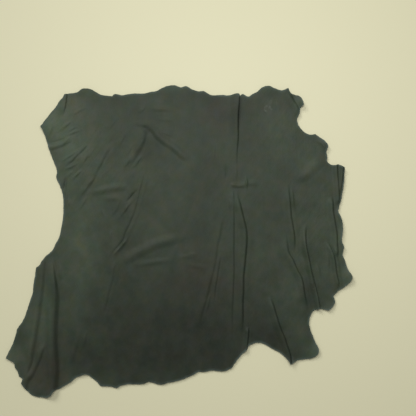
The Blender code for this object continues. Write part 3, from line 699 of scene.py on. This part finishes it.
# %% The sheet
SMOOTH_UP_TO = 65.0     # degrees between two faces that are shaded as one surface
places = np.array([row[:2] for row in OUTLINE])
centre = (places.min(axis=0) + places.max(axis=0)) / 2
bpy.ops.object.select_all(action="DESELECT")
mesh = bpy.data.meshes.new("tanned_hide")
mesh.from_pydata([((x + dx - centre[0]) * MM, (y + dy - centre[1]) * MM, z * MM)
                  for (x, y), (dx, dy), z in zip(flat, shift, height)], [], triangles)
mesh.attributes.new("fold_shade_and_crest_highlight", "FLOAT", "POINT").data.foreach_set("value", fold_shade_and_crest_highlight)
hide = bpy.data.objects.new("tanned_hide", mesh)
bpy.context.scene.collection.objects.link(hide)
bpy.context.view_layer.objects.active = hide
hide.select_set(True)
bpy.ops.object.mode_set(mode="EDIT")
bpy.ops.mesh.select_all(action="SELECT")
bpy.ops.mesh.normals_make_consistent(inside=False)
bpy.ops.object.mode_set(mode="OBJECT")
if sum(face.normal.z for face in mesh.polygons) < 0:
    mesh.flip_normals()

thickness = hide.modifiers.new("thickness", "SOLIDIFY")
thickness.thickness = THICKNESS * MM
thickness.offset = 1.0
thickness.use_even_offset = True
thickness.use_quality_normals = True
bpy.ops.object.modifier_apply(modifier="thickness")
bpy.ops.object.shade_smooth_by_angle(angle=math.radians(SMOOTH_UP_TO))
mesh = hide.data
print(f"hide: {len(mesh.polygons)} faces,",
      sum(len(face.vertices) - 2 for face in mesh.polygons), "triangles")

# %% [markdown]
# ## Stains, worn places, painted light and shade
#
# The patches are partly stains of the dye and partly painted light and shade. The belly and
# the bottom are darkest, partly from darker dye and partly as painted shade where the light
# fades towards the near side, and the shoulder corner is pale, partly as painted light from
# the upper left. The narrow dark patches along folds, in hollows and under tucks are painted
# shade, the small pale ones on crests are painted highlights, and some spots are browner.
# Each patch has a middle, a reach along x and along y, how much lighter or darker it makes
# the leather and, where that is not nothing, how much browner and how much it is covered
# with fine slanting wrinkles. They are worked out at each point of the mesh and kept in
# attributes, which the finish reads, so that they stay on the skin. A fourth attribute marks
# the rubbed rim.

# %% Patches of tone
Patch = namedtuple("Patch", "name x y reach_x reach_y tone brown creased", defaults=(0, 0))
PATCHES = [Patch(*row) for row in (
    # painted shade and darker dye: the light fades over the belly towards the near side
    ("dark belly", 30, -235, 330, 260, -0.46, 0.1),
    ("dark belly, left", -150, -270, 150, 180, -0.2, 0.05),
    ("lower left shank", -360, -330, 120, 150, 0.16, 0.3, 0.2),
    ("left flank streak", -165, -70, 60, 220, -0.12, 0.05, 0.2),
    # the pale corner is partly paler dye and partly painted light from the upper left
    ("pale corner", -300, 285, 165, 200, 0.56, -0.1, 0.9),
    ("pale left rib", -262, 50, 100, 310, 0.34, -0.05, 0.4),
    ("creased flank", -170, 210, 190, 170, 0.04, 0, 0.6),
    ("pale middle", 0, 190, 150, 130, 0.06),
    ("neck smudge", 105, 325, 80, 60, -0.18, 0.45),
    ("brown smudge", 60, -110, 190, 60, -0.04, 0.4),
    # painted shade beside the top pleat
    ("dark pleat side", 150, 330, 40, 90, -0.14),
    ("dark flank band", 75, 110, 60, 230, -0.12),
    ("pale shoulder", 280, 270, 120, 150, 0.14, -0.1, 0.1),
    ("pale right side", 360, 20, 100, 240, 0.18, -0.1, 0.1),
    ("pale hind shank", 295, -180, 60, 110, 0.14),
    ("dark lobe", 285, 360, 40, 50, -0.14, 0, 0.3),
    # painted shade in the chevron's hollow
    ("chevron hollow", -72, 236, 60, 70, -0.12),
    ("pale below chevron", -180, 165, 50, 60, 0.12, 0, 0.3),
    ("dark middle", 40, 20, 70, 190, -0.12),
    ("pale shank side", -368, -175, 60, 110, 0.3, 0, 0.2),
    ("pale lower tip", -440, -305, 54, 66, 0.62),
    ("dark bottom left", -258, -305, 85, 75, -0.3),
    ("pale right tip", 443, -98, 46, 60, 0.58, -0.1),
    # painted shade in the hollow under the belly fold
    ("dark under belly fold", 337, -146, 36, 100, -0.44),
    ("pale hind tip", 348, -296, 50, 60, 0.52, -0.05),
    ("dark notch side", 226, -245, 60, 75, -0.26),
    ("pale top bulge", -14, 398, 74, 22, 0.36, -0.15),
    ("pale upper right bulge", 230, 398, 56, 24, 0.36, -0.15),
    ("pale upper left bulge", -246, 390, 40, 18, 0.34, -0.15),
    ("pale upper lobe", 310, 362, 22, 30, 0.44, -0.15),
    ("bright corner tip", -342, 312, 50, 60, 0.34, 0, 0.2),
    ("pale corner top", -285, 345, 60, 60, 0.12, 0.15, 0.2),
    ("dark top right", 82, 375, 60, 45, -0.13, 0.1),
    # painted shade beside the top pleat and painted shadow along its line
    ("dark beside the pleat", 183, 335, 55, 75, -0.11),
    ("dark pleat line", 153, 330, 7, 60, -0.3),
    # broad paler and darker patches that even out the light over the skin: partly dye, partly
    # painted light and shade
    ("pale under the top bulge", -50, 366, 80, 45, 0.09),
    ("pale lobe foot", 290, 312, 60, 50, 0.12),
    ("pale upper flank", -155, 182, 80, 80, 0.12),
    ("pale shoulder foot", 338, 205, 60, 80, 0.12),
    ("pale by the pleat", 184, 160, 50, 60, 0.14),
    ("pale back", 80, 85, 55, 70, 0.12),
    ("dark shoulder", 240, 72, 65, 80, -0.1),
    ("pale mid flank", -181, 56, 60, 60, 0.12),
    ("pale lower rib", -262, -15, 75, 80, 0.12),
    ("dark knuckle", -128, 4, 50, 50, -0.09),
    ("dark long crease", -128, -100, 50, 60, -0.09),
    ("dark back, low", 100, -48, 120, 50, -0.09, 0.1),
    ("brown back, low", 35, -66, 60, 30, -0.03, 0.3),
    ("pale side", 288, -75, 60, 80, 0.1),
    ("pale shank rim", -345, -178, 44, 95, 0.24),
    ("dark by the shank", -205, -178, 80, 80, -0.11),
    ("pale belly spot", -25, -150, 60, 50, 0.11),
    ("dark belly side", 187, -182, 60, 95, -0.13),
    ("pale hind side", 332, -208, 45, 60, 0.2),
    ("dark hind notch", 264, -264, 55, 70, -0.16),
    ("dark lower shank", -342, -340, 62, 90, -0.26, 0.2),
    ("dark by the notch", -181, -308, 70, 60, -0.12),
    ("dark bottom right", 182, -300, 60, 60, -0.1),
    ("pale belly, left", -103, -256, 70, 45, 0.1),
    # painted light on the strip between the rim fold and the rim
    ("pale rim strip", 419, 17, 24, 110, 0.34, -0.15),
    # painted shade under the tuck and in the edge hollow
    ("dark under the tuck", -328, 226, 44, 28, -0.22),
    ("dark edge hollow", -280, 202, 38, 30, -0.16),
    ("brown corner", -258, 345, 60, 55, 0, 0.3),
    ("brown rib", -230, 288, 60, 45, 0, 0.22),
    # painted shade along the fore shank folds
    ("dark shank band, high", -320, -125, 15, 110, -0.2),
    ("dark shank band, low", -320, -300, 19, 150, -0.3, 0.1),
    ("dark outer band", -371, -250, 14, 110, -0.12),
    # more broad patches, partly dye and partly painted light and shade
    ("pale corner, low", -300, 315, 60, 60, 0.1),
    ("pale ribs, high", -120, 150, 60, 60, 0.07),
    ("pale mid back", -50, 110, 80, 90, 0.07),
    ("dark top mid", 80, 190, 50, 110, -0.08),
    ("pale shoulder, high", 320, 210, 60, 60, 0.06),
    ("pale lower flank", -258, -90, 90, 60, 0.09),
    ("pale under the knuckle", -181, -100, 45, 50, 0.08),
    ("pale side, low", 300, -150, 60, 50, 0.1),
    ("pale shank top", -258, -160, 60, 60, 0.09),
    ("pale lower shank side", -395, -200, 40, 70, 0.1),
    ("dark shank toe", -340, -318, 50, 40, -0.08, 0.1),
    ("dark hind toe", 285, -300, 40, 40, -0.14),
    ("dark lower middle", 100, -205, 70, 60, -0.07),
    ("dark bottom middle", 110, -310, 110, 45, -0.07),
    # painted shade in the knot, along the chevron's arms and between the ribs
    ("dark knot", -80, 291, 26, 20, -0.26),
    ("dark left arm, high", -91, 264, 17, 28, -0.16),
    ("dark left arm, low", -107, 234, 20, 26, -0.14),
    ("dark right arm", -48, 274, 40, 26, -0.12),
    ("dark between the ribs", -146, 76, 28, 60, -0.13),
    # more broad patches, partly dye and partly painted light and shade
    ("pale corner, inside", -337, 316, 44, 44, 0.16),
    ("pale corner, right", -285, 368, 44, 40, 0.1),
    ("pale ribs, middle", -129, 212, 45, 40, 0.09),
    # painted highlight on the fore shank crest
    ("pale shank crest", -337, -180, 30, 90, 0.13),
    ("pale side, middle", 339, -152, 34, 44, 0.12),
    ("pale tip, left", -440, -308, 40, 44, 0.1),
    ("pale side foot", 339, -308, 30, 40, 0.1),
    ("pale mid side", 443, -100, 40, 44, 0.08),
    ("pale lower edge, left", -233, -360, 50, 40, 0.1),
    ("pale rib, high", -285, 108, 50, 40, 0.08),
    ("pale rib, mid", -285, 4, 50, 60, 0.08),
    ("dark by the shank, low", -233, -152, 50, 44, -0.12),
    ("dark bottom, left", -129, -360, 60, 40, -0.1),
    ("dark upper flank", 79, 368, 60, 40, -0.1),
    ("dark bottom, middle", -25, -308, 60, 50, -0.08),
    ("dark hind side", 260, -256, 50, 50, -0.09),
    ("dark corner foot", -181, 368, 50, 44, -0.08),
    ("dark upper ribs", -77, 238, 50, 44, -0.07),
    # small spots along the relief: the pale ones are painted highlights on crests and lips, the
    # dark ones painted shade at the arc's end and in the dip
    ("dark arc end", 7, -14, 13, 22, -0.13),
    ("pale hook crest", -311, 170, 14, 16, 0.18),
    ("pale flap rim", -310, 362, 14, 20, 0.14),
    ("pale lobe neck", 299, 332, 12, 18, 0.13),
    ("pale tuck top", -340, 277, 16, 12, 0.14),
    ("pale shank shoulder", -362, -69, 12, 20, 0.13),
    ("pale shank rim, low", -420, -254, 12, 24, 0.13),
    ("pale bar start", -95, 345, 16, 14, 0.11),
    ("pale corner crest", -264, 307, 14, 14, 0.12),
    ("dark dip", 276, 386, 10, 14, -0.14),
    # painted shade and light as the light falls: darker along the bottom, paler at the upper left
    ("dark along the bottom", -20, -320, 420, 160, -0.06),
    ("pale upper left, wide", -290, 250, 130, 200, 0.05),
    # small spots along the relief: the pale ones are painted highlights on rims and crests, the
    # dark bays and hollows painted shade
    ("pale rib rim", -284, 92, 18, 30, 0.12),
    ("pale left rim", -300, 4, 15, 30, 0.12),
    ("pale by the left arm", -137, 207, 14, 18, 0.12),
    ("pale flank crest", -152, 264, 14, 18, 0.12),
    ("pale edge crest", -312, 199, 14, 16, 0.12),
    ("pale cross end", 176, 165, 16, 14, 0.1),
    ("pale shoulder rim", 368, 251, 18, 16, 0.12),
    ("pale belly crest", 355, 14, 18, 28, 0.11),
    ("dark toe", -378, -344, 20, 22, -0.13),
    ("pale by the pleat top", 203, 376, 16, 14, 0.11),
    ("dark hind bay", -298, 144, 16, 24, -0.2),
    ("dark bottom bay", -248, -316, 18, 18, -0.2),
    ("dark upper left hollow", -222, 352, 16, 24, -0.14),
    ("pale bottom line", -251, -264, 14, 26, 0.14),
    ("pale toe rim", -378, -389, 30, 16, 0.16),
    ("pale corner rim", -320, 290, 34, 50, 0.1),
    # more broad patches, partly dye and partly painted light and shade
    ("pale flank, high", -233, 264, 40, 40, 0.06),
    ("pale shank rim, high", -337, -200, 40, 60, 0.07),
    ("pale shank foot", -389, -200, 36, 50, 0.08),
    ("pale ribs row", -181, 70, 60, 40, 0.06),
    ("pale right row", 290, 54, 40, 50, 0.06),
    ("dark lower row", 240, -230, 60, 60, -0.05),
    ("dark shank notch", -285, -310, 40, 34, -0.06),
    ("dark mid shank", -389, -308, 36, 34, -0.06),
    ("dark lower left row", -207, -200, 60, 60, -0.06),
    ("dark belly top", 27, -45, 50, 34, -0.06),
    ("dark back right", 131, 5, 40, 40, -0.06),
    ("pale top foot", 235, 368, 40, 30, 0.07),
)]
RIM_WEAR = 6.0          # how far from the rim the dye is rubbed paler


def patch_values(x, y):
    """Tone (stains, painted light and painted shade), brownness and creasing at each place."""
    totals = np.zeros((3, len(x)))
    for patch in PATCHES:
        gap = np.hypot((x - patch.x) / patch.reach_x, (y - patch.y) / patch.reach_y)
        totals += np.outer((patch.tone, patch.brown, patch.creased), ease(1.0 - gap))
    return totals


place_x = np.array([v.co.x / MM + centre[0] for v in mesh.vertices])
place_y = np.array([v.co.y / MM + centre[1] for v in mesh.vertices])
worn = ease(1.0 - distance_to_rim(np.column_stack((place_x, place_y)), rim, 10.0) / RIM_WEAR)
tone, brown, creased = patch_values(place_x, place_y)
for name, values in (("tone", tone), ("brown", brown), ("creased", creased), ("worn", worn)):
    mesh.attributes.new(name, "FLOAT", "POINT").data.foreach_set("value", values)
    print(f"{name}: from {values.min():.2f} to {values.max():.2f}")

# %% [markdown]
# ## The finish of the leather
#
# The finish is one Principled shader. Its colour starts from a grey-green dye, is mottled by
# several sizes of noise and shifted by the patches. The bump has three layers: the pebbled
# grain of about a millimetre, soft pores, and long faint stretch lines. A little sheen gives
# the powdery look of soft garment leather. These helpers add a node and hand on its output,
# so that the finish reads as a sum of layers.

# %% Helpers for the finish
leather = bpy.data.materials.new("grey_green_leather")
leather.use_nodes = True
tree = leather.node_tree
shader = tree.nodes["Principled BSDF"]


def join(value, socket):
    """Feeds an input from another node's output, or sets it to a plain value."""
    if isinstance(value, bpy.types.NodeSocket):
        tree.links.new(value, socket)
    else:
        socket.default_value = value


def new_node(kind, **settings):
    """A shader node of that kind, with its properties and inputs set by name."""
    node = tree.nodes.new("ShaderNode" + kind)
    for name, value in settings.items():
        if hasattr(node, name):
            setattr(node, name, value)
        else:
            join(value, node.inputs[name])
    return node


def math_node(operation, *values):
    """The result of a Math node; each value is a socket or a number."""
    node = new_node("Math", operation=operation)
    for value, socket in zip(values, node.inputs):
        join(value, socket)
    return node.outputs["Value"]


def scaled(value, factor, offset):
    """The value times the factor, plus the offset."""
    return math_node("MULTIPLY_ADD", value, factor, offset)


def clamped(value):
    """The value kept from 0 to 1."""
    return new_node("Clamp", Value=value).outputs["Result"]


def attribute(name):
    """A value that is kept at the points of the mesh."""
    return new_node("Attribute", attribute_name=name).outputs["Fac"]


def turned(degrees, **settings):
    """The place on the skin turned about z, and moved or scaled by more Mapping settings."""
    return new_node("Mapping", Vector=place, Rotation=(0.0, 0.0, math.radians(degrees)),
                    **settings).outputs["Vector"]


def noise_at(where, scale, detail, roughness):
    """Noise from 0 to 1 over the places."""
    return new_node("TexNoise", Vector=where, Scale=scale, Detail=detail,
                    Roughness=roughness).outputs["Fac"]


def streaks(degrees, stretch, scale):
    """Noise drawn out into streaks along y after a turn about z."""
    where = turned(degrees, vector_type="TEXTURE", Scale=(1.0, stretch, 1.0))
    return noise_at(where, scale, 3.0, 0.55)


def mixed(blend, factor, under, over):
    """Two colours mixed by a factor from 0 to 1."""
    return new_node("Mix", data_type="RGBA", blend_type=blend, Factor=factor,
                    A=under, B=over).outputs["Result"]


place = new_node("TexCoord").outputs["Object"]

# %% [markdown]
# The colour is made in steps: a ramp turns the wide noise into the three dyes that show on
# the skin, the brown patches are mixed in, and the brightness is multiplied by a fine mottle
# plus the patches' tone, which holds stains as well as painted light and shade. Two more
# noises make small spots a little warmer or cooler, because a vat of dye never colours all
# fibres alike. Along a steep fold the line itself is darker than its flanks as painted shade,
# the crests of the crest table are paler as wear and painted highlight, and the rubbed rim is
# paler.

# %% The leather
DYE_DARK = (0.0245, 0.0335, 0.0211, 1.0)
DYE = (0.0312, 0.0416, 0.0264, 1.0)
DYE_PALE = (0.0400, 0.0520, 0.0336, 1.0)
DYE_BROWN = (0.0430, 0.0400, 0.0290, 1.0)
DYE_RUBBED = (0.0620, 0.0860, 0.0730, 1.0)
DYE_SCUFFED = (0.0820, 0.0950, 0.0780, 1.0)
FOLD_SHADE_DARKNESS = 0.15   # how much darker the painted shade makes a fold line of strength one

wide = noise_at(place, 14.0, 5.0, 0.6)
ramp = new_node("ValToRGB", Fac=wide)
darkest, palest = ramp.color_ramp.elements
darkest.position, darkest.color = 0.30, DYE_DARK
palest.position, palest.color = 0.72, DYE_PALE
ramp.color_ramp.elements.new(0.50).color = DYE
blotch = noise_at(place, 28.0, 3.0, 0.5)
brownness = math_node("ADD", attribute("brown"), scaled(blotch, 0.9, -0.42))
colour = mixed("MIX", clamped(brownness), ramp.outputs["Color"], DYE_BROWN)

mottle = scaled(noise_at(place, 260.0, 4.0, 0.7), 0.22, 0.89)
# the patches' tone: stains together with painted light and shade
light = math_node("ADD", attribute("tone"), mottle)
light = math_node("ADD", light, scaled(streaks(6.0, 7.0, 55.0), 0.14, -0.07))
# painted shade along the steep folds, lighter on the worn and highlighted crests
light = scaled(attribute("fold_shade_and_crest_highlight"), -FOLD_SHADE_DARKNESS, light)
cloud = noise_at(place, 42.0, 2.0, 0.5)
light = math_node("ADD", light, scaled(cloud, 0.30, -0.15))

hue = new_node("CombineColor", Green=light)
for channel, degrees, scale, depth in (("Red", 0.0, 36.0, 0.62), ("Blue", 90.0, 48.0, 0.90)):
    pattern = noise_at(turned(degrees), scale, 4.0, 0.65)
    share = scaled(pattern, depth, 1.0 - depth / 2)
    join(math_node("MULTIPLY", light, share), hue.inputs[channel])
colour = mixed("MULTIPLY", 1.0, colour, hue.outputs["Color"])
rubbing = math_node("MULTIPLY", attribute("worn"), scaled(cloud, 2.2, -0.40))
colour = mixed("MIX", clamped(rubbing), colour, DYE_RUBBED)

# %% [markdown]
# Near the upper right corner the finish is scuffed through in a few short pale marks. Each
# is a stretched spot with a soft edge, and a noise with small cells breaks them all up, so
# that none has a clean shape.

# %% The scuffed spot
Scuff = namedtuple("Scuff", "x y long wide turn strength")
SCUFFS = [Scuff(*row) for row in (
    (224.5, 349.5, 6.5, 3.6, 35, 1.0),
    (224.0, 338.5, 5.5, 3.0, -20, 0.9),
    (221.0, 344.0, 4.5, 2.4, 80, 0.5),
    (234.0, 348.0, 5.0, 3.4, 60, 0.9),
    (237.5, 343.5, 5.5, 3.2, -50, 0.7),
    (236.5, 362.0, 13.0, 4.5, 75, 0.35),
    (250.0, 359.0, 6.0, 4.0, 20, 0.3),
)]
SCUFF_LEVEL, SCUFF_DEPTH = 4.0, 20.0    # the marks' level and half height, past all the relief
marks = 0.0
for scuff in SCUFFS:
    spot = turned(scuff.turn, vector_type="TEXTURE",
                  Location=((scuff.x - centre[0]) * MM, (scuff.y - centre[1]) * MM,
                            SCUFF_LEVEL * MM),
                  Scale=(scuff.long * MM, scuff.wide * MM, SCUFF_DEPTH * MM))
    from_middle = new_node("VectorMath", operation="LENGTH", Vector=spot).outputs["Value"]
    marks = scaled(clamped(math_node("SUBTRACT", 1.0, from_middle)), scuff.strength, marks)
specks = scaled(noise_at(place, 420.0, 2.0, 0.6), 6.0, -2.3)
colour = mixed("MIX", clamped(math_node("MULTIPLY", specks, marks)), colour, DYE_SCUFFED)
join(colour, shader.inputs["Base Color"])
print("scuffed marks:", len(SCUFFS))

# %% [markdown]
# The grain is a Voronoi pattern: its cells are the pebbles, and the valleys between them lie
# lower. The roughness follows the wide noise of the dye, so the darker places shine a little
# more.

# %% Grain, stretch lines and gloss
grain = new_node("TexVoronoi", feature="SMOOTH_F1", Vector=place, Scale=720.0, Smoothness=0.6)
pores = noise_at(place, 1500.0, 2.0, 0.6)
pebbles = scaled(grain.outputs["Distance"], -0.18, math_node("MULTIPLY", pores, 0.06))
slanting = math_node("MULTIPLY", streaks(-34.0, 4.5, 62.0),
                     scaled(attribute("creased"), 3.4, 0.6))
lines = scaled(streaks(4.0, 7.0, 80.0), 0.7, slanting)
bump = new_node("Bump", Strength=1.0, Distance=0.9 * MM,
                Height=math_node("ADD", pebbles, lines))
join(bump.outputs["Normal"], shader.inputs["Normal"])
join(scaled(wide, 0.20, 0.50), shader.inputs["Roughness"])
for name, value in (("Metallic", 0.0), ("Specular IOR Level", 0.22), ("Sheen Weight", 0.05),
                    ("Sheen Roughness", 0.45), ("Sheen Tint", (0.80, 0.86, 0.78, 1.0))):
    join(value, shader.inputs[name])
mesh.materials.clear()
mesh.materials.append(leather)
print("finish:", len(tree.nodes), "nodes")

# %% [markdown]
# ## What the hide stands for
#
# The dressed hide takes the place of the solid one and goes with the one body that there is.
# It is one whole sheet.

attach(hide, "root")
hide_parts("hide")

# %% [markdown]
# ## The surface below
#
# The hide lies on a plain pale table. A plane is added at its size, large enough that its
# edge is far behind the hide in low views too, and a hair below the hide's flesh side.

# %% Floor
FLOOR_SIZE = 9.0        # metres
FLOOR_DROP = 0.4        # millimetres below the hide
bpy.ops.object.select_all(action="DESELECT")
bpy.ops.mesh.primitive_plane_add(size=FLOOR_SIZE, location=(0.0, 0.0, -FLOOR_DROP * MM))
floor = bpy.context.object
floor.name = "floor"
floor_finish = bpy.data.materials.new("cream_table")
floor_finish.use_nodes = True
floor_shader = floor_finish.node_tree.nodes["Principled BSDF"]
floor_shader.inputs["Base Color"].default_value = (0.66, 0.635, 0.44, 1.0)
floor_shader.inputs["Roughness"].default_value = 0.55
floor_shader.inputs["Specular IOR Level"].default_value = 0.3
floor.data.materials.append(floor_finish)
bpy.ops.object.transform_apply(location=True, rotation=True, scale=True)

# %% [markdown]
# ## Light
#
# A wide lamp above the far half of the table gives most of the light, which fades towards
# the near side. A second light, far away and low at the upper left, reaches every place from
# the same side: it makes the left and far flanks of each fold light and the other face dark.
# A weak even light from all round keeps the shadows soft.

# %% Lamps
KEY_POWER, SIDE_POWER, EVEN_LIGHT = 17.3, 1.45, 0.233


def light_at(kind, name, place, aim, power):
    """A light at a place, turned to an aim, both in metres."""
    bpy.ops.object.light_add(type=kind, location=place)
    light = bpy.context.object
    light.name = name
    light.data.energy = power
    light.rotation_mode = "QUATERNION"
    light.rotation_quaternion = (Vector(aim) - Vector(place)).to_track_quat("-Z", "Y")
    return light.data


key = light_at("AREA", "key_lamp", (0.10, 0.60, 1.60), (0.10, 0.10, 0.0), KEY_POWER)
key.shape = "RECTANGLE"
key.size, key.size_y = 0.9, 0.7
key.color = (1.0, 1.0, 0.97)
side_light = light_at("SUN", "side_light", (-1.24, 1.60, 1.44), (0.0, 0.0, 0.0), SIDE_POWER)
side_light.angle = math.radians(24.0)
world = bpy.data.worlds.new("studio")
bpy.context.scene.world = world
world.use_nodes = True
background = world.node_tree.nodes["Background"]
background.inputs["Color"].default_value = (1.0, 1.0, 0.98, 1.0)
background.inputs["Strength"].default_value = EVEN_LIGHT

# %% [markdown]
# ## Camera
#
# The camera looks straight down from above the table, as someone does who lays a skin out
# to choose it. A long lens keeps the rim from leaning.

# %% Camera
VIEW_WIDTH = 1.0816     # metres of table across the picture
VIEW_PLACE = (0.0741, 0.0871, 1.65)
SENSOR = 36.0           # millimetres
bpy.ops.object.camera_add(location=VIEW_PLACE, rotation=(0.0, 0.0, 0.0))
camera = bpy.context.object
camera.name = "overhead_camera"
camera.data.sensor_width = SENSOR
camera.data.lens = SENSOR * VIEW_PLACE[2] / VIEW_WIDTH
camera.data.clip_start, camera.data.clip_end = 0.05, 50.0
bpy.context.scene.camera = camera
view = bpy.context.scene.view_settings
view.view_transform, view.look, view.exposure = "Standard", "None", 0.0
